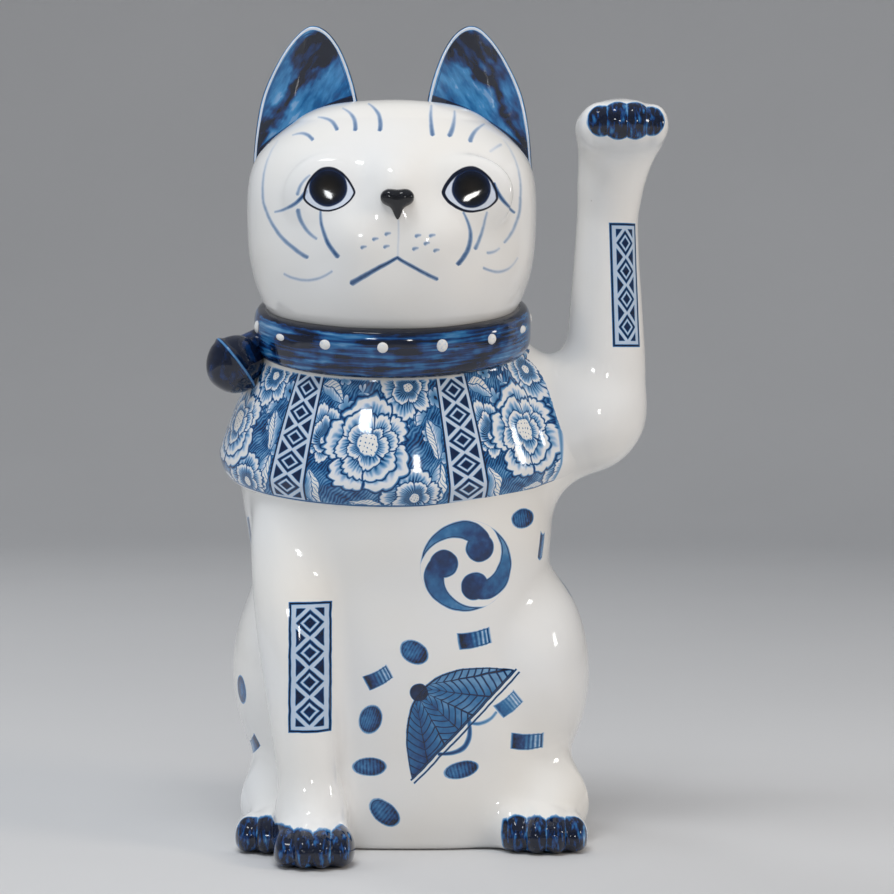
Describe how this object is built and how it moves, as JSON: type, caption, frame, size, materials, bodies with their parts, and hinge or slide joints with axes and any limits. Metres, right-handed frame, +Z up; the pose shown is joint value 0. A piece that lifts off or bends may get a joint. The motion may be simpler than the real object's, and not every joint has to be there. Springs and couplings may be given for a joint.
{
  "type": "ceramic cat figurine",
  "caption": "Seated beckoning cat figurine of glazed white ceramic with painted cobalt decoration, a studded collar with a bell, a printed bib and one forepaw held up beside the head.",
  "frame": {"origin": "middle of the body's footprint on the resting surface", "axes": "+Z up; the face looks along -Y; +X is the cat's own left, the side of the raised forepaw"},
  "size_m": [0.1839, 0.1604, 0.324],
  "materials": {
    "white_glaze": "clear gloss glaze over white clay, with cobalt brush painting",
    "bare_clay": "unglazed fired clay",
    "printed_glaze": "gloss glaze over a cobalt flower print",
    "cobalt_glaze": "gloss glaze over streaky cobalt brushwork",
    "stud_glaze": "raised dots of white slip under gloss glaze",
    "dark_glaze": "gloss glaze over blue-black",
    "rib_glaze": "gloss glaze, thin over the raised rib"
  },
  "bodies": {
    "root": {"torso_shell": "white_glaze", "base_slab": "bare_clay", "left_haunch": "white_glaze", "right_haunch": "white_glaze", "planted_foreleg": "white_glaze", "left_hind_paw": "white_glaze", "right_hind_paw": "white_glaze", "tail": "white_glaze", "raised_arm": "white_glaze", "raised_paw": "white_glaze", "bib": "printed_glaze", "collar_band": "cobalt_glaze", "collar_studs": "stud_glaze", "bell_stem": "dark_glaze", "bell": "dark_glaze", "bell_rib": "rib_glaze", "head_shell": "white_glaze", "left_ear": "cobalt_glaze", "right_ear": "cobalt_glaze", "nose": "dark_glaze"}
  },
  "joints": []
}
